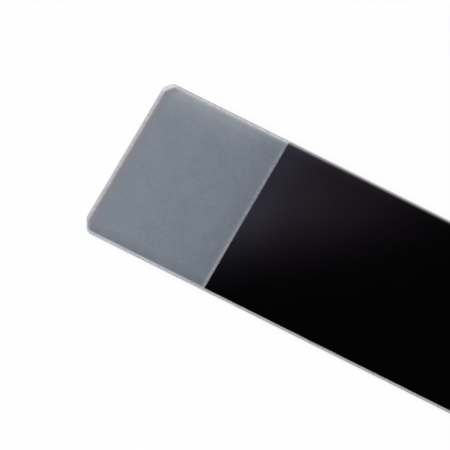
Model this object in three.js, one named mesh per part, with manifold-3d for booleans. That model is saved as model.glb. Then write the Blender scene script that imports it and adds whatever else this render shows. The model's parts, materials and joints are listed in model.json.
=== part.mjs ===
// Microscope slide with one frosted end: a single pane of glass, lying flat.
// Millimetres, +Z up. The origin is the centre of the underside, on the surface the slide lies on.
// +X runs along the slide from its frosted end to its clear end, and +Y runs across it.

import * as THREE from 'three';
import { mergeVertices } from 'three/addons/utils/BufferGeometryUtils.js';
import Module from 'manifold-3d';

// Pane
const slideLength = 76;
const slideWidth = 26;
const slideThickness = 1;

// Clipped corners: what the slanting cut takes off the long edge and off the short one, and the radius that
// eases its two ends
const clipAlongLength = 1.2;
const clipAcrossWidth = 1.6;
const clipEasing = 0.8;
const easingSteps = 3;

// Ground edges: the leg of the 45 degree seam that takes the sharpness off both faces' rims
const arrisSeam = 0.13;

// Frosted end, ground into the upper face over the full width
const frostLength = 20;
const frostDepth = 0.03;

// How far the grinding tool reaches past the glass
const toolOverrun = 2;

const wasm = await Module();
wasm.setup();

// The corner points, anticlockwise, of a rectangle with a cut across each corner.
function clippedRectangle(length, width, clipX, clipY) {
  const endX = length / 2;
  const sideY = width / 2;
  return [
    new THREE.Vector2(endX, sideY - clipY),
    new THREE.Vector2(endX - clipX, sideY),
    new THREE.Vector2(clipX - endX, sideY),
    new THREE.Vector2(-endX, sideY - clipY),
    new THREE.Vector2(-endX, clipY - sideY),
    new THREE.Vector2(clipX - endX, -sideY),
    new THREE.Vector2(endX - clipX, -sideY),
    new THREE.Vector2(endX, clipY - sideY),
  ];
}

// A closed shape through the corners of an anticlockwise convex outline, with an arc in place of each corner.
function easedShape(corners, radius) {
  const shape = new THREE.Shape();
  corners.forEach((corner, index) => {
    const previous = corners.at(index - 1);
    const next = corners[(index + 1) % corners.length];
    const arriving = corner.clone().sub(previous).normalize();
    const leaving = next.clone().sub(corner).normalize();
    const turn = Math.acos(arriving.dot(leaving));
    const arcStart = corner.clone().addScaledVector(arriving, -radius * Math.tan(turn / 2));
    const inward = new THREE.Vector2(-arriving.y, arriving.x);
    const centre = arcStart.clone().addScaledVector(inward, radius);
    const startAngle = arcStart.sub(centre).angle();
    shape.absarc(centre.x, centre.y, radius, startAngle, startAngle + turn, false);
  });
  shape.closePath();
  return shape;
}

// The blank: the outline at full size between the two seams, and drawn in by the seam at each face.
function paneGeometry() {
  const corners = clippedRectangle(slideLength, slideWidth, clipAlongLength, clipAcrossWidth);
  const outline = easedShape(corners, clipEasing);
  const geometry = new THREE.ExtrudeGeometry(outline, {
    depth: slideThickness - 2 * arrisSeam,
    curveSegments: easingSteps,
    bevelEnabled: true,
    bevelSegments: 1,
    bevelThickness: arrisSeam,
    bevelSize: arrisSeam,
    bevelOffset: -arrisSeam,
  });
  return geometry.translate(0, 0, arrisSeam);
}

// What grinding takes off the upper face: a slab from beyond the frosted end to the frost's front line.
function frostCutGeometry() {
  const cutLength = frostLength + toolOverrun;
  const cutHeight = frostDepth + toolOverrun;
  const geometry = new THREE.BoxGeometry(cutLength, slideWidth + 2 * toolOverrun, cutHeight);
  const frontLineX = frostLength - slideLength / 2;
  return geometry.translate(frontLineX - cutLength / 2, 0, slideThickness - frostDepth + cutHeight / 2);
}

// A closed three.js geometry as a solid that can be cut.
function toSolid(geometry) {
  const bare = geometry.clone();
  bare.deleteAttribute('normal');
  bare.deleteAttribute('uv');
  const welded = mergeVertices(bare);
  return new wasm.Manifold(new wasm.Mesh({
    numProp: 3,
    vertProperties: new Float32Array(welded.attributes.position.array),
    triVerts: new Uint32Array(welded.index.array),
  }));
}

// A solid back as a three.js geometry.
function toGeometry(solid) {
  const mesh = solid.getMesh();
  const geometry = new THREE.BufferGeometry();
  geometry.setAttribute('position', new THREE.BufferAttribute(mesh.vertProperties, 3));
  geometry.setIndex(new THREE.BufferAttribute(mesh.triVerts, 1));
  geometry.computeVertexNormals();
  return geometry;
}

const glass = new THREE.MeshStandardMaterial({
  color: 0x1c191f,
  roughness: 0.06,
  metalness: 0,
  flatShading: true,
});

const frostedPane = toSolid(paneGeometry()).subtract(toSolid(frostCutGeometry()));
const glassSlide = new THREE.Mesh(toGeometry(frostedPane), glass);
glassSlide.name = 'glass_slide';

const microscopeSlide = new THREE.Group();
microscopeSlide.add(glassSlide);

export default microscopeSlide;
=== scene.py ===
"""The finish of a frosted-end microscope slide: polished glass, frosted end, ground edges, and its stage."""

import json
import math
from collections import namedtuple

import bmesh
import bpy
from bpy.props import FloatProperty, FloatVectorProperty, IntProperty, PointerProperty
from bpy.types import Operator, Panel, PropertyGroup
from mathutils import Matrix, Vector, noise


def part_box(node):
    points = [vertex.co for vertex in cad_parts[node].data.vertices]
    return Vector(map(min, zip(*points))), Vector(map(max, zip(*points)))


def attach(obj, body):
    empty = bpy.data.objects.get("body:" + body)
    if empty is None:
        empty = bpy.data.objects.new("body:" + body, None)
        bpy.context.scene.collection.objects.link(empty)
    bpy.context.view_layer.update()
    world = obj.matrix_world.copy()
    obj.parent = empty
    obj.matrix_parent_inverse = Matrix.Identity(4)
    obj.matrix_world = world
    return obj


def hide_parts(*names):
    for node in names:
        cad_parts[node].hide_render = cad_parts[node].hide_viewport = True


bl_info = {
    "name": "Frosted Microscope Slide",
    "version": (1, 0, 0),
    "blender": (4, 5, 0),
    "location": "3D View > Sidebar > Slide",
    "description": "Builds a glass microscope slide with a frosted end and lays it on a plain stage",
    "category": "Add Mesh",
}

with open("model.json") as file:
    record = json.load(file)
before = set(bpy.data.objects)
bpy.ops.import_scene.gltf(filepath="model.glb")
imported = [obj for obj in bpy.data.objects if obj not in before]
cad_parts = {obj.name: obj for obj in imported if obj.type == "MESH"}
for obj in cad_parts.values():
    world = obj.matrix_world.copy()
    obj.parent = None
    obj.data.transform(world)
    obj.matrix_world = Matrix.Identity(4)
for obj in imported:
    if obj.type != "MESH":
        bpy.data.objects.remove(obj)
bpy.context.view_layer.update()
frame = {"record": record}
PANE_LOW, PANE_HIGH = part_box("glass_slide")
LABEL_FACE = next(m for m in frame["record"]["mounts"] if m["name"] == "label_face")["pos_m"]

MM = 0.001
PER_METRE = 1000.0

# The pane, in metres, from the middle of its underside. The label face's mount is in the middle of the frost.
FROST_LENGTH = 2 * (LABEL_FACE[0] - PANE_LOW.x)
FROST_DEPTH = PANE_HIGH.z - LABEL_FACE[2]
FRONT_LINE = PANE_LOW.x + FROST_LENGTH

# The same in millimetres, for the materials
END = -PANE_LOW.x * PER_METRE
SIDE = PANE_HIGH.y * PER_METRE
FRONT = FRONT_LINE * PER_METRE
THICKNESS = PANE_HIGH.z * PER_METRE

# Heights between which the colours seen through the underside turn into those of the upper face
MID_DEPTH = (0.4 * THICKNESS, 0.6 * THICKNESS)

GLASS_IOR = 1.52
BLACK = (0.0, 0.0, 0.0)
WHITE = (1.0, 1.0, 1.0, 1.0)

# A wash of colour that lies along an edge: the distances in from the edge, in millimetres, up to which it is
# whole and at which it has gone, and its strength where it is whole
Wash = namedtuple("Wash", "whole gone strength")

# Washes on the frost, in from its edges and back from its front line: painted light and painted shade, and a
# warmer blush inside the end
REAR_LIGHT = Wash(0.3, 6.0, 0.13)
REAR_BLOOM = Wash(1.2, 2.5, 0.07)
RIM_LIGHT = Wash(0.35, 1.35, 0.17)
LIP_LIGHT = Wash(0.13, 0.36, 0.2)
CUT_LIGHT = Wash(0.2, 0.6, 0.33)
END_BLUSH = Wash(0.5, 2.2, 0.8)
NEAR_SHADE = Wash(0.3, 2.2, 0.17)
CORNER_GLOW = Wash(0.3, 0.8, 1.0)
CORNER_SHADE = Wash(0.8, 1.9, 0.7)
FRONT_SHADE = Wash(0.5, 4.8, 0.12)
FRONT_BRIGHT = Wash(0.22, 0.62, 1.0)
FRONT_HALO = Wash(0.5, 1.0, 0.16)
FRONT_EDGE = Wash(0.0, 0.28, 0.35)

# Half the distance over which the painted bright rim gives way to the open frost, and how much wider the rim
# is beside the rear cut, in millimetres
RIM_SOFTNESS = 0.22
CUT_RIM = 0.2

# Distances in from the end over which its painted rim's colour gives way to that of the rear rim
RIM_TURN = (0.5, 2.0)

# Distances in from the front edge over which the painted bright front line darkens
LINE_FADE = (0.0, 16.0)

# Distances back from the front line over which the rear edge's painted light comes up
LIGHT_RETURN = (2.0, 8.5)

# How far behind and ahead of the front line the ground edge changes from one colour to the other, from its
# painted light beside the frost
EDGE_CHANGE = (-0.8, 0.4)

# Painted shade on the inner part of the front edge's upper seam, where the clear glass shows dark through it:
# distances down from the face, and ahead of the frost's front line
SEAM_SHADE = Wash(0.02, 0.075, 0.85)
SEAM_SHADE_START = (0.0, 0.1)

# The rear edge's painted glow reaches further in beside the frost: distances ahead of the front line
GLOW_SPREAD = Wash(0.0, 12.0, 0.15)

# Painted light: the bloom on the clear glass is stronger beside the rear edge
BLOOM_BY_REAR = Wash(0.4, 2.2, 0.4)

# Distances ahead of the front line over which the frost, painted in where it would show through the
# underside, fades out
THROUGH_FADE = (-0.22, 0.0)

# A speckle: its size in millimetres, how many finer sizes it holds, and how strong it is
Speckle = namedtuple("Speckle", "size detail strength")
FROST_CLOUD = Speckle(2.4, 4.0, 0.03)
FROST_PATCH = Speckle(0.6, 3.0, 0.045)
RIM_BLOTCH = Speckle(0.45, 3.0, 0.28)
EDGE_FLECK = Speckle(0.3, 3.0, 0.4)
EDGE_LINE = Speckle(0.12, 3.0, 0.3)
# Unevenness of the painted bloom of light
BLOOM_CLOUD = Speckle(6.0, 2.0, 0.12)
POLISH_SMEAR = Speckle(4.0, 4.0, 0.5)

# The part of its noise that a speckle spreads over its full strength
SPECKLE_RANGE = (0.25, 0.75)

# What places are multiplied by for a speckle: the smaller it is, the further the cells are drawn out that way
EVEN = (1.0, 1.0, 1.0)
EDGE_LINE_STRETCH = (0.04, 0.04, 1.0)
POLISH_SMEAR_STRETCH = (1.0, 0.4, 1.0)

# The frost's own grain: how many finer sizes it holds, the part of its noise that is used, how much lighter
# it makes the frost, and the shares of the frost's roughness between which it changes that
GRAIN_DETAIL = 2.0
GRAIN_RANGE = (0.2, 0.8)
GRAIN_LIGHT = 0.08
GRAIN_ROUGHNESS = (0.92, 1.06)

# Share of the polish's roughness where it has no smear
CLEAN_POLISH = 0.8

# Places on the frost: distances in millimetres from its edges, back from its front line, in from the cuts at
# its rear and front corners, and in from the nearest of the edges that have a painted bright rim
Places = namedtuple(
    "Places", "from_end from_rear from_front behind_line from_rear_cut from_front_cut from_rim")

# The order of the slide's materials
POLISHED, FROSTED, GROUND = range(3)

# Mesh steps on each softened edge of the seam, and the places of the mesh lines on the slope at the front
# line, in shares of its width
SEAM_STEPS = 3
SLOPE_SHARES = (-0.5, -0.25, 0.0, 0.25, 0.5)

# The sockets of a Mix node's colours, which share their names with its sockets for numbers
MIX_FACTOR, MIX_FIRST, MIX_SECOND, MIX_RESULT = 0, 6, 7, 2


def length_property(name, description, default):
    return FloatProperty(name=name, description=description, default=default, min=0.0, precision=5,
                         subtype="DISTANCE", unit="LENGTH")


def place_property(name, description, default):
    return FloatVectorProperty(name=name, description=description, default=default, size=len(default),
                               precision=5, subtype="TRANSLATION", unit="LENGTH")


def angle_property(name, description, degrees):
    return FloatProperty(name=name, description=description, default=math.radians(degrees),
                         subtype="ANGLE", unit="ROTATION")


def share_property(name, description, default):
    return FloatProperty(name=name, description=description, default=default, min=0.0, max=1.0, precision=3,
                         subtype="FACTOR")


def number_property(name, description, default):
    return FloatProperty(name=name, description=description, default=default, min=0.0)


def power_property(name, description, default):
    return FloatProperty(name=name, description=description, default=default, min=0.0, unit="POWER")


def colour_property(name, description, default):
    return FloatVectorProperty(name=name, description=description, default=default, size=3,
                               min=0.0, max=1.0, subtype="COLOR")


class PaneSettings(PropertyGroup):
    """Sizes of the pane's edges and of its mesh."""

    cut_along: length_property("Cut along", "What a corner's cut takes off the long edge", 1.0 * MM)
    front_cut: length_property("Front cut", "What a front corner's cut takes off the end", 1.81 * MM)
    rear_cut: length_property("Rear cut", "What a rear corner's cut takes off the end", 1.26 * MM)
    cut_easing: length_property("Cut easing", "Radius that eases each end of a cut", 1.2 * MM)
    seam: length_property("Seam", "Leg of the ground seam along both faces", 0.13 * MM)
    seam_easing: length_property("Seam easing", "Radius that softens the seam's own edges", 0.05 * MM)
    seam_wander: share_property("Seam wander", "How much the hand-ground seam's width changes", 0.22)
    wander_length: length_property("Wander length", "Length over which the seam's width changes", 1.3 * MM)
    front_skew: angle_property("Front skew", "How far the frost's front line is out of square", 0.2)
    skew_reach: length_property("Skew reach", "How far from the front line the mesh follows it", 5.0 * MM)
    frost_step: length_property("Frost step", "Width of the slope at the frost's front line", 0.06 * MM)
    cell: length_property("Cell", "Spacing of the mesh along the straight edges", 0.4 * MM)
    arc_steps: IntProperty(name="Arc steps", description="Mesh steps on each eased corner", default=6, min=1)


class GlassSettings(PropertyGroup):
    """Colours and gloss of the polished faces."""

    # Painted darkness: the clear glass is coloured near black, standing in for the dark ground seen through
    # it
    body: colour_property("Body", "Depth of the clear glass", (0.0004, 0.0004, 0.0005))
    # Painted light: a bloom over the dark glass beside the frosted end, and where it lies and runs
    near_bloom: colour_property("Haze", "Bloom on the glass beside the frosted end", (0.0268, 0.0254, 0.0366))
    far_bloom: colour_property("Far haze", "Bloom further from the frosted end", (0.0220, 0.0159, 0.0233))
    bloom_change: length_property("Haze change", "Length over which the one turns into the other", 6.8 * MM)
    bloom_start: place_property("Haze start", "Middle of the bloom", (-21.5 * MM, -0.5 * MM))
    bloom_turn: angle_property("Haze turn", "Direction that the bloom runs in, from the slide's length", 35.4)
    bloom_reach: length_property("Haze reach", "How far the bloom runs before it fades", 22.3 * MM)
    bloom_spread: length_property("Haze spread", "How far it fades towards the front edge", 7.2 * MM)
    # Painted light: the lit rear ground edge, glowing through the glass beside it
    edge_glow: colour_property("Edge glow", "Ground rear edge, seen through the glass", (0.66, 0.65, 0.655))
    glow_width: length_property("Glow width", "Reach of the rear edge's glow", 0.95 * MM)
    glow_fall: number_property("Glow fall", "How steeply that glow falls away", 3.8)
    roughness: share_property("Roughness", "Roughness of the polish", 0.05)


class FrostSettings(PropertyGroup):
    """Colours and grain of the frosted end."""

    # Painted light falloff: the open frost is lighter towards the slide's end
    far_field: colour_property("Far field", "Frost towards the slide's end", (0.150, 0.181, 0.226))
    near_field: colour_property("Near field", "Frost towards the clear glass", (0.122, 0.150, 0.192))
    # Painted light: the bright rim beside the rear edge, the end and the rear corner's cut
    rear_rim: colour_property("Rear rim", "Frost beside the rear edge", (0.588, 0.588, 0.61))
    end_rim: colour_property("End rim", "Frost beside the end edge", (0.555, 0.54, 0.565))
    corner: colour_property("Corner", "Rim beside the rear corner's cut", (0.88, 0.80, 0.85))
    # Painted shade inside the rear corner's rim
    shade: colour_property("Shade", "Frost inside that corner's rim", (0.206, 0.194, 0.228))
    # What the painted light and the random mottle lighten the frost towards
    light: colour_property("Light", "Frost where it is lightest", (0.53, 0.533, 0.56))
    blush: colour_property("Blush", "Warmer frost inside the end edge", (0.207, 0.193, 0.227))
    # Painted highlight along the frost's front line
    front: colour_property("Front line", "Bright line along the frost's front", (0.325, 0.333, 0.396))
    front_fade: share_property("Front fade", "How much that line darkens towards the rear edge", 0.17)
    # Painted in: the frost as it would be seen from below through the clear glass
    through: colour_property("Through", "Frost as it shows through the underside", (0.11, 0.13, 0.16))
    rim_width: length_property("Rim width", "Width of the bright rim", 0.54 * MM)
    grain: length_property("Grain", "Size of the grain", 0.09 * MM)
    relief: length_property("Relief", "Height of the grain", 0.004 * MM)
    roughness: share_property("Roughness", "Roughness of the frost", 0.68)


class EdgeSettings(PropertyGroup):
    """Colours of the ground edges."""

    ground: colour_property("Ground", "Ground glass of the edges", (0.236, 0.236, 0.236))
    # Painted light: the ground edges are lighter and bluer beside the frost and at the frosted end
    by_line: colour_property("By the line", "Ground glass beside the frost's front", (0.274, 0.291, 0.345))
    by_end: colour_property("By the end", "Ground glass at the frosted end", (0.362, 0.382, 0.45))
    bright: colour_property("Bright", "Flecks and wheel lines in the ground glass", (0.72, 0.72, 0.73))
    relief: length_property("Relief", "Height of the wheel lines", 0.004 * MM)
    roughness: share_property("Roughness", "Roughness of the grinding", 0.5)


class StageSettings(PropertyGroup):
    """Floor, backdrop, lamps and camera."""

    floor: colour_property("Floor", "Colour of the floor", (0.94, 0.94, 0.94))
    floor_reach: length_property("Floor reach", "From the slide to the floor's edges", 12.0)
    floor_gap: length_property("Floor gap", "From the underside down to the floor", 0.02 * MM)
    backdrop: share_property("Backdrop", "Share of the floor that shows as plain white", 0.88)
    ceiling: share_property("Ceiling", "Brightness of the room's dark ceiling", 0.016)
    fade: number_property("Fade", "How fast the white backdrop darkens above the horizon", 4.0)
    ambient: share_property("Ambient", "Strength of the room's light on the slide", 0.42)
    key: power_property("Key lamp", "Power of the lamp over the frosted end", 12.0)
    key_place: place_property("Key place", "Middle of that lamp", (-0.9, 0.45, 0.95))
    fill: power_property("Fill lamp", "Power of the lamp over the front edge", 6.8)
    fill_place: place_property("Fill place", "Middle of that lamp", (0.45, -1.0, 0.8))
    lamp_width: length_property("Lamp width", "Side of each lamp", 0.8)
    aim: place_property("Aim", "Point that the camera looks at", (-20.188 * MM, -2.545 * MM, 0.0))
    distance: length_property("Distance", "From the camera to that point", 2.5)
    view_width: length_property("View width", "Width of the picture at that point", 64.29 * MM)
    azimuth: angle_property("Azimuth", "Turn of the view about the upright", 28.42)
    elevation: angle_property("Elevation", "Height of the view over the bench", 67.045)


class Value:
    """A shader socket that takes part in plain arithmetic."""

    def __init__(self, shader, socket):
        self.shader = shader
        self.socket = socket

    def _maths(self, operation, *operands):
        return self.shader.node("ShaderNodeMath", {"operation": operation}, dict(enumerate(operands)))

    def __add__(self, other):
        return self._maths("ADD", self, other)

    def __radd__(self, other):
        return self._maths("ADD", other, self)

    def __sub__(self, other):
        return self._maths("SUBTRACT", self, other)

    def __rsub__(self, other):
        return self._maths("SUBTRACT", other, self)

    def __mul__(self, other):
        return self._maths("MULTIPLY", self, other)

    def __rmul__(self, other):
        return self._maths("MULTIPLY", other, self)

    def __truediv__(self, other):
        return self._maths("DIVIDE", self, other)

    def __rtruediv__(self, other):
        return self._maths("DIVIDE", other, self)

    def __pow__(self, other):
        return self._maths("POWER", self, other)

    def __rpow__(self, other):
        return self._maths("POWER", other, self)

    def least(self, other):
        return self._maths("MINIMUM", self, other)

    def most(self, other):
        return self._maths("MAXIMUM", self, other)

    def rise(self, low, high, bottom=0.0, top=1.0):
        """A smooth step from bottom at low to top at high."""
        settings = {"interpolation_type": "SMOOTHSTEP"}
        inputs = {"Value": self, "From Min": low, "From Max": high, "To Min": bottom, "To Max": top}
        return self.shader.node("ShaderNodeMapRange", settings, inputs)

    def fall(self, low, high):
        """A smooth step from 1 at low to 0 at high."""
        return self.rise(low, high, 1.0, 0.0)

    def wash(self, wash):
        """The strength of a wash, where this value is the distance in from its edge."""
        return self.rise(wash.whole, wash.gone, wash.strength, 0.0)


class Shader:
    """Builds the nodes of one material or world."""

    def __init__(self, owner):
        owner.use_nodes = True
        self.tree = owner.node_tree
        self.tree.nodes.clear()

    def node(self, kind, settings=None, inputs=None, output=0):
        """Adds a node, with its settings first and then what its sockets hold, and returns one output."""
        made = self.tree.nodes.new(kind)
        for key, setting in (settings or {}).items():
            setattr(made, key, setting)
        for key, value in (inputs or {}).items():
            if isinstance(value, Value):
                self.tree.links.new(value.socket, made.inputs[key])
            else:
                made.inputs[key].default_value = value
        if not made.outputs:
            return None
        return Value(self, made.outputs[output])

    def mix(self, factor, first, second):
        """The colour first where factor is 0 and second where it is 1."""
        inputs = {MIX_FACTOR: factor, MIX_FIRST: with_alpha(first), MIX_SECOND: with_alpha(second)}
        return self.node("ShaderNodeMix", {"data_type": "RGBA"}, inputs, output=MIX_RESULT)

    def position(self):
        """Place on the slide, in millimetres, as a vector and as its X, Y and Z."""
        place = self.node("ShaderNodeTexCoord", output="Object")
        inputs = {"Vector": place, "Scale": PER_METRE}
        scaled = self.node("ShaderNodeVectorMath", {"operation": "SCALE"}, inputs)
        axes = [self.node("ShaderNodeSeparateXYZ", None, {"Vector": scaled}, output=axis) for axis in "XYZ"]
        return scaled, axes

    def grain(self, place, size, detail, stretch=EVEN):
        """Noise between 0 and 1, mostly near its middle, whose cells have this size in millimetres."""
        shape = self.node("ShaderNodeVectorMath", {"operation": "MULTIPLY"}, {0: place, 1: stretch})
        return self.node("ShaderNodeTexNoise", None, {"Vector": shape, "Scale": 1.0 / size, "Detail": detail})

    def speckle(self, place, speckle, stretch=EVEN):
        """Noise that runs from 0 up to the speckle's strength."""
        cells = self.grain(place, speckle.size, speckle.detail, stretch)
        return cells.rise(*SPECKLE_RANGE, 0.0, speckle.strength)

    def bump(self, height, relief):
        """The surface's normal, where height runs from 0 to 1 over the relief, in metres."""
        return self.node("ShaderNodeBump", None, {"Height": height, "Distance": relief})


def with_alpha(colour):
    """A colour as a colour socket takes it, or the value that is to be linked there."""
    if isinstance(colour, Value):
        return colour
    return (*colour, 1.0)


def finish_material(name, shader_inputs):
    """A material whose Principled shader takes what shader_inputs(shader) returns."""
    material = bpy.data.materials.new(name)
    shader = Shader(material)
    surface = shader.node("ShaderNodeBsdfPrincipled", None, {"IOR": GLASS_IOR, **shader_inputs(shader)})
    shader.node("ShaderNodeOutputMaterial", None, {"Surface": surface})
    return material


def bell(distance):
    """1 where the distance is 0, falling away on both sides as a bell curve does."""
    return math.exp(-1) ** (distance * distance)


def bloom_mask(x, y, glass):
    """Mask of the painted bloom of light: 1 along its middle line, fading along it and towards the front
    edge.
    """
    start_x, start_y = (value * PER_METRE for value in glass.bloom_start)
    along, across = math.cos(glass.bloom_turn), math.sin(glass.bloom_turn)
    forward = (x - start_x) * along + (y - start_y) * across
    sideways = (y - start_y) * along - (x - start_x) * across
    fading = bell(forward / (glass.bloom_reach * PER_METRE))
    return fading * bell(sideways.least(0.0) / (glass.bloom_spread * PER_METRE))


def polished_glass(glass, frost):
    """Clear polished glass, painted near black for the dark ground seen through it, with a painted bloom of
    light beside the frosted end.
    """

    def inputs(shader):
        place, (x, y, z) = shader.position()
        upper = z.rise(*MID_DEPTH)
        # Painted light: a bloom on the dark upper face beside the frosted end, stronger by the rear edge
        tint = shader.mix((x - FRONT).rise(0.0, glass.bloom_change * PER_METRE), glass.near_bloom, glass.far_bloom)
        cloud = 1.0 - BLOOM_CLOUD.strength / 2 + shader.speckle(place, BLOOM_CLOUD)
        bloom = bloom_mask(x, y, glass) * (cloud + (SIDE - y).wash(BLOOM_BY_REAR))
        colour = shader.mix(bloom * upper, glass.body, tint)
        # Painted light: the rear ground edge's glow through the glass, reaching further in beside the frost
        reach = glass.glow_width * PER_METRE * (1.0 + (x - FRONT).wash(GLOW_SPREAD))
        glow = (SIDE - y).fall(0.0, reach) ** glass.glow_fall
        colour = shader.mix(glow * upper, colour, glass.edge_glow)
        # The frost painted in on the underside, where it would be seen through the clear glass
        under_frost = (x - FRONT).fall(*THROUGH_FADE) * (1.0 - upper)
        colour = shader.mix(under_frost, colour, frost.through)
        smear = shader.speckle(place, POLISH_SMEAR, POLISH_SMEAR_STRETCH)
        return {"Base Color": colour, "Roughness": (smear + CLEAN_POLISH) * glass.roughness}

    return finish_material("polished_glass", inputs)


def cut_distance(from_end, from_side, along, across):
    """Distance in from a corner's cut, in millimetres, given those from the edges that it joins."""
    along, across = along * PER_METRE, across * PER_METRE
    return (from_end * across + from_side * along - along * across) / math.hypot(along, across)


def frost_places(x, y, pane):
    """The places of a point on the frost, given its X and Y in millimetres."""
    from_end, from_rear, from_front = x + END, SIDE - y, y + SIDE
    behind_line = FRONT - y * math.tan(pane.front_skew) - x
    from_rear_cut = cut_distance(from_end, from_rear, pane.cut_along, pane.rear_cut)
    from_front_cut = cut_distance(from_end, from_front, pane.cut_along, pane.front_cut)
    from_rim = from_end.least(from_rear).least(from_rear_cut - CUT_RIM)
    return Places(from_end, from_rear, from_front, behind_line, from_rear_cut, from_front_cut, from_rim)


def frost_field(shader, mottle, at, frost):
    """Colour of the open frost, with painted light that makes it lighter towards the end and the rear, by the
    rims and by the front edge's lip, painted shade inside the front edge, and a warmer blush towards the end.
    """
    # Painted light falloff towards the end, and painted shade inside the front edge
    field = shader.mix(at.from_end.rise(0.0, FRONT + END), frost.far_field, frost.near_field)
    field = shader.mix(at.from_front.wash(NEAR_SHADE), field, BLACK)
    # Painted light beside the rear edge, along the rims and on the front edge's lip, on top of the random
    # mottle
    rear_light = at.from_rear.wash(REAR_LIGHT) * at.behind_line.rise(*LIGHT_RETURN)
    rear_light = rear_light + at.from_rear.wash(REAR_BLOOM)
    lightness = mottle + rear_light + at.from_rim.wash(RIM_LIGHT) + at.from_front.wash(LIP_LIGHT)
    colour = shader.mix(lightness, field, frost.light)
    return shader.mix(at.from_end.wash(END_BLUSH), colour, frost.blush)


def frost_front(shader, colour, blotch, at, frost):
    """Adds a painted highlight along the frost's front, darker towards the rear, and painted shade behind it
    and at the line.
    """
    colour = shader.mix(at.behind_line.wash(FRONT_SHADE), colour, BLACK)
    fade = at.from_front.rise(*LINE_FADE, 0.0, frost.front_fade)
    line = shader.mix(fade + blotch, frost.front, BLACK)
    brightness = at.behind_line.wash(FRONT_BRIGHT).most(at.behind_line.wash(FRONT_HALO))
    colour = shader.mix(brightness, colour, line)
    return shader.mix(at.behind_line.wash(FRONT_EDGE), colour, BLACK)


def frost_rim(shader, colour, blotch, at, frost):
    """Adds painted light as a bright rim beside the end, the rear edge and their cut and a faint one by the
    front cut, and painted shade inside the rear cut's rim.
    """
    colour = shader.mix(at.from_rear_cut.wash(CORNER_SHADE), colour, frost.shade)
    colour = shader.mix(at.from_front_cut.wash(CUT_LIGHT), colour, frost.light)
    rim = shader.mix(at.from_end.rise(*RIM_TURN), frost.end_rim, frost.rear_rim)
    rim = shader.mix(at.from_rear_cut.wash(CORNER_GLOW), rim, frost.corner)
    rim = shader.mix(blotch, rim, BLACK)
    width = frost.rim_width * PER_METRE
    return shader.mix(at.from_rim.fall(width - RIM_SOFTNESS, width + RIM_SOFTNESS), colour, rim)


def frosted_glass(pane, frost):
    """Finely ground glass: matt and bluish grey, with painted light along its rims and its front line."""

    def inputs(shader):
        place, (x, y, _) = shader.position()
        at = frost_places(x, y, pane)
        fine = shader.grain(place, frost.grain * PER_METRE, GRAIN_DETAIL)
        mottle = shader.speckle(place, FROST_CLOUD) + shader.speckle(place, FROST_PATCH)
        mottle = mottle + fine.rise(*GRAIN_RANGE, 0.0, GRAIN_LIGHT)
        blotch = shader.speckle(place, RIM_BLOTCH)
        colour = frost_field(shader, mottle, at, frost)
        colour = frost_front(shader, colour, blotch, at, frost)
        colour = frost_rim(shader, colour, blotch, at, frost)
        rough = fine.rise(*GRAIN_RANGE, *GRAIN_ROUGHNESS) * frost.roughness
        return {"Base Color": colour, "Roughness": rough, "Normal": shader.bump(fine, frost.relief)}

    return finish_material("frosted_glass", inputs)


def ground_edge(edges):
    """Edges ground with a fine wheel, whose lines run along them, with painted light towards the frosted end
    and painted shade on the front seam.
    """

    def inputs(shader):
        place, (x, y, z) = shader.position()
        # Painted light from the frosted end in the ground edges
        beside_frost = shader.mix((x + END).rise(0.0, FRONT + END), edges.by_end, edges.by_line)
        ground = shader.mix((x - FRONT).rise(*EDGE_CHANGE), beside_frost, edges.ground)
        lines = shader.speckle(place, EDGE_LINE, EDGE_LINE_STRETCH)
        colour = shader.mix(lines + shader.speckle(place, EDGE_FLECK), ground, edges.bright)
        # Painted shade on the front seam, fading out towards the rear edge
        dark = (THICKNESS - z).wash(SEAM_SHADE) * (x - FRONT).rise(*SEAM_SHADE_START)
        colour = shader.mix(dark * y.fall(-SIDE, SIDE), colour, BLACK)
        bump = shader.bump(lines / EDGE_LINE.strength, edges.relief)
        return {"Base Color": colour, "Roughness": edges.roughness, "Normal": bump}

    return finish_material("ground_edge", inputs)


def eased_run(corners, radius, steps):
    """Points and outward normals through the inner corners of a clockwise line, each turned by an arc."""
    run = []
    for before, corner, after in zip(corners, corners[1:], corners[2:]):
        arriving = (corner - before).normalized()
        leaving = (after - corner).normalized()
        turn = arriving.angle(leaving)
        outward = Vector((-arriving.y, arriving.x))
        centre = corner - arriving * radius * math.tan(turn / 2) - outward * radius
        for step in range(steps + 1):
            angle = turn * step / steps
            normal = outward * math.cos(angle) + arriving * math.sin(angle)
            run.append((centre + normal * radius, normal))
    return run


def side_outline(pane, cut):
    """Outline points and outward normals from the frosted end, along the rear edge, to the clear end."""
    end, side = PANE_HIGH.x, PANE_HIGH.y
    cut_start = Vector((-end, side - cut))
    cut_stop = Vector((pane.cut_along - end, side))
    corners = [Vector((-end, 0.0)), cut_start, cut_stop, Vector((0.0, side))]
    left = eased_run(corners, pane.cut_easing, pane.arc_steps)
    right = [(Vector((-point.x, point.y)), Vector((-normal.x, normal.y))) for point, normal in reversed(left)]
    reach = end - pane.cut_along - pane.cut_easing
    cells = round(2 * reach / pane.cell)
    even = [2 * reach * i / cells - reach for i in range(cells + 1)]
    clear_of_step = [x for x in even if abs(x - FRONT_LINE) > pane.frost_step]
    step = [FRONT_LINE + pane.frost_step * share for share in SLOPE_SHARES]
    straight = [(Vector((x, side)), Vector((0.0, 1.0))) for x in sorted(clear_of_step + step)]
    return left + straight + right


def edge_section(pane):
    """The edge's section as pairs of inset and height, from the underside up to the upper face."""
    low, high, seam = PANE_LOW.z, PANE_HIGH.z, pane.seam
    lead = seam + 2 * pane.seam_easing
    lower = [Vector((lead, low)), Vector((seam, low)), Vector((0.0, low + seam))]
    upper = [Vector((0.0, high - seam)), Vector((seam, high)), Vector((lead, high))]
    return [point for point, _ in eased_run(lower + upper, pane.seam_easing, SEAM_STEPS)]


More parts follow.
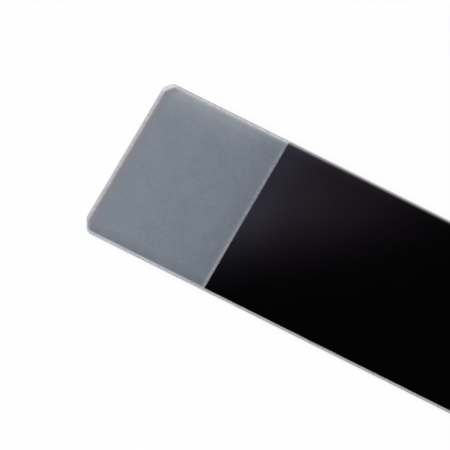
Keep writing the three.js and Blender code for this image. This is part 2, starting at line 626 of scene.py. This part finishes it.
def below_surface(x, level, pane):
    """The level, held down to the upper face, which drops over a short slope into the frosted end."""
    share = min(max((x - FRONT_LINE) / pane.frost_step + 0.5, 0.0), 1.0)
    smooth = share * share * (3 - 2 * share)
    return min(level, PANE_HIGH.z - FROST_DEPTH * (1 - smooth))


def grid_rim(grid):
    """What lies round the outside of a grid of columns, anticlockwise from above."""
    front = [column[0] for column in grid]
    rear = [column[-1] for column in reversed(grid)]
    return front + grid[-1][1:-1] + rear + grid[0][-2:0:-1]


def pane_plan(pane):
    """Points and outward normals of the pane from above, in columns from its front to its rear edge."""
    rear = side_outline(pane, pane.rear_cut)
    front = [(Vector((point.x, -point.y)), Vector((normal.x, -normal.y)))
             for point, normal in side_outline(pane, pane.front_cut)]
    rows = round((rear[0][0].y - front[0][0].y) / pane.cell)
    shares = [row / rows for row in range(rows + 1)]
    return [[(near + (far - near) * share, near_normal + (far_normal - near_normal) * share)
             for share in shares] for (near, near_normal), (far, far_normal) in zip(front, rear)]


def pane_vertex(mesh, point, normal, pane, inset, level):
    """A vertex on the plan drawn in by inset, which wanders as that of a hand-ground seam does."""
    wander = noise.noise(Vector((point.x, point.y, level)) / pane.wander_length)
    place = point - normal * inset * (1 + pane.seam_wander * wander)
    return mesh.verts.new((place.x, place.y, below_surface(place.x, level, pane)))


def face_grid(mesh, plan, pane, inset, level):
    """Vertices of one face, column by column, on the plan drawn in by inset."""
    return [[pane_vertex(mesh, *spot, pane, inset, level) for spot in column] for column in plan]


def seam_ring(mesh, outline, pane, inset, level):
    """Vertices of one turn round the edge, on its outline drawn in by inset."""
    return [pane_vertex(mesh, *spot, pane, inset, level) for spot in outline]


def cover_face(mesh, grid, upper):
    """Fills one face's grid. The upper one is frosted up to the front line."""
    for near, far in zip(grid, grid[1:]):
        frosted = upper and near[0].co.x + far[0].co.x < 2 * FRONT_LINE
        for row in range(len(near) - 1):
            corners = [near[row], far[row], far[row + 1], near[row + 1]]
            face = mesh.faces.new(corners if upper else reversed(corners))
            face.material_index = FROSTED if frosted else POLISHED


def cover_edge(mesh, below, above):
    """Fills the strip between two turns round the edge."""
    for i in range(len(below)):
        face = mesh.faces.new((below[i - 1], below[i], above[i], above[i - 1]))
        face.material_index = GROUND
        face.smooth = True


def skew_front_line(mesh, pane):
    """Turns the frost's front line out of square, and eases the mesh on both sides along with it."""
    for vert in mesh.verts:
        share = max(0.0, 1.0 - abs(vert.co.x - FRONT_LINE) / pane.skew_reach)
        vert.co.x -= vert.co.y * math.tan(pane.front_skew) * share


def build_pane(pane):
    """The slide as one closed mesh: a grid on each face, joined by turns round the edge."""
    plan = pane_plan(pane)
    section = edge_section(pane)
    mesh = bmesh.new()
    lower = face_grid(mesh, plan, pane, *section[0])
    upper = face_grid(mesh, plan, pane, *section[-1])
    turns = [seam_ring(mesh, grid_rim(plan), pane, *point) for point in section[1:-1]]
    turns = [grid_rim(lower), *turns, grid_rim(upper)]
    cover_face(mesh, lower, False)
    cover_face(mesh, upper, True)
    for below, above in zip(turns, turns[1:]):
        cover_edge(mesh, below, above)
    skew_front_line(mesh, pane)
    mesh.normal_update()
    return mesh


class SLIDE_OT_glass_slide(Operator):
    """Build the glass slide with its polished, frosted and ground finishes"""

    bl_idname = "slide.glass_slide"
    bl_label = "Glass Slide"

    def execute(self, context):
        scene = context.scene
        mesh = build_pane(scene.slide_pane)
        data = bpy.data.meshes.new("glass_slide_finish")
        mesh.to_mesh(data)
        mesh.free()
        data.materials.append(polished_glass(scene.slide_glass, scene.slide_frost))
        data.materials.append(frosted_glass(scene.slide_pane, scene.slide_frost))
        data.materials.append(ground_edge(scene.slide_edges))
        slide = bpy.data.objects.new("glass_slide_finish", data)
        context.collection.objects.link(slide)
        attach(slide, "root")
        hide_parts("glass_slide")
        return {"FINISHED"}


def seen_directly(shader):
    """1 for the rays that show the background: from the camera, from glossy surfaces and through glass."""
    camera, glossy, through = (shader.node("ShaderNodeLightPath", output=name)
                               for name in ("Is Camera Ray", "Is Glossy Ray", "Is Transmission Ray"))
    return camera.most(glossy).most(through)


def plain_floor(stage):
    """A wide pale floor that keeps the slide's shadow and otherwise shows white."""
    reach, level = stage.floor_reach, -stage.floor_gap
    data = bpy.data.meshes.new("floor")
    corners = [(-reach, -reach, level), (reach, -reach, level), (reach, reach, level), (-reach, reach, level)]
    data.from_pydata(corners, [], [(0, 1, 2, 3)])
    floor = bpy.data.objects.new("floor", data)
    bpy.context.collection.objects.link(floor)
    material = bpy.data.materials.new("plain_floor")
    shader = Shader(material)
    lit = shader.node("ShaderNodeBsdfDiffuse", None, {"Color": with_alpha(stage.floor)})
    white = shader.node("ShaderNodeEmission", None, {"Strength": 1.0})
    share = seen_directly(shader) * stage.backdrop
    surface = shader.node("ShaderNodeMixShader", None, {0: share, 1: lit, 2: white})
    shader.node("ShaderNodeOutputMaterial", None, {"Surface": surface})
    data.materials.append(material)


def white_room(stage):
    """A white backdrop all round under a dark ceiling."""
    world = bpy.data.worlds.new("room")
    bpy.context.scene.world = world
    shader = Shader(world)
    direction = shader.node("ShaderNodeTexCoord", output="Generated")
    height = shader.node("ShaderNodeSeparateXYZ", None, {"Vector": direction}, output="Z")
    backdrop = (1.0 - height.most(0.0)) ** stage.fade * (1.0 - stage.ceiling) + stage.ceiling
    seen = seen_directly(shader)
    strength = seen * backdrop + (1.0 - seen) * stage.ambient
    surface = shader.node("ShaderNodeBackground", None, {"Color": WHITE, "Strength": strength})
    shader.node("ShaderNodeOutputWorld", None, {"Surface": surface})


def soft_lamp(name, place, width, power):
    """A square soft lamp aimed at the slide, hidden from the camera itself."""
    data = bpy.data.lights.new(name, "AREA")
    data.size = width
    data.energy = power
    lamp = bpy.data.objects.new(name, data)
    lamp.location = place
    lamp.rotation_euler = (-Vector(place)).to_track_quat("-Z", "Y").to_euler()
    lamp.visible_camera = False
    bpy.context.collection.objects.link(lamp)


def bench_camera(stage):
    """A long lens that looks down on the frosted end."""
    data = bpy.data.cameras.new("camera")
    data.lens = data.sensor_width * stage.distance / stage.view_width
    camera = bpy.data.objects.new("camera", data)
    level = math.cos(stage.elevation)
    towards = (math.sin(stage.azimuth) * level, -math.cos(stage.azimuth) * level, math.sin(stage.elevation))
    camera.location = Vector(stage.aim) + Vector(towards) * stage.distance
    camera.rotation_euler = (math.pi / 2 - stage.elevation, 0.0, stage.azimuth)
    bpy.context.collection.objects.link(camera)
    bpy.context.scene.camera = camera


class SLIDE_OT_stage(Operator):
    """Build the floor, the room, the lamps and the camera"""

    bl_idname = "slide.stage"
    bl_label = "Stage"

    def execute(self, context):
        stage = context.scene.slide_stage
        plain_floor(stage)
        white_room(stage)
        soft_lamp("key_lamp", stage.key_place, stage.lamp_width, stage.key)
        soft_lamp("fill_lamp", stage.fill_place, stage.lamp_width, stage.fill)
        bench_camera(stage)
        context.scene.view_settings.view_transform = "Standard"
        return {"FINISHED"}


class SLIDE_PT_sidebar(Panel):
    """Lists the slide's operators and its settings"""

    bl_idname = "SLIDE_PT_sidebar"
    bl_label = "Microscope Slide"
    bl_space_type = "VIEW_3D"
    bl_region_type = "UI"
    bl_category = "Slide"

    def draw(self, context):
        for operator in OPERATORS:
            self.layout.operator(operator.bl_idname)
        for name, group in SETTINGS.items():
            box = self.layout.box()
            for setting in group.__annotations__:
                box.prop(getattr(context.scene, name), setting)


SETTINGS = {
    "slide_pane": PaneSettings,
    "slide_glass": GlassSettings,
    "slide_frost": FrostSettings,
    "slide_edges": EdgeSettings,
    "slide_stage": StageSettings,
}
OPERATORS = (SLIDE_OT_glass_slide, SLIDE_OT_stage)
CLASSES = (*SETTINGS.values(), *OPERATORS, SLIDE_PT_sidebar)


def register():
    for made in CLASSES:
        bpy.utils.register_class(made)
    for name, group in SETTINGS.items():
        setattr(bpy.types.Scene, name, PointerProperty(type=group))


def unregister():
    for name in SETTINGS:
        delattr(bpy.types.Scene, name)
    for made in reversed(CLASSES):
        bpy.utils.unregister_class(made)


def main():
    register()
    bpy.ops.slide.glass_slide()
    bpy.ops.slide.stage()


if __name__ == "__main__":
    main()
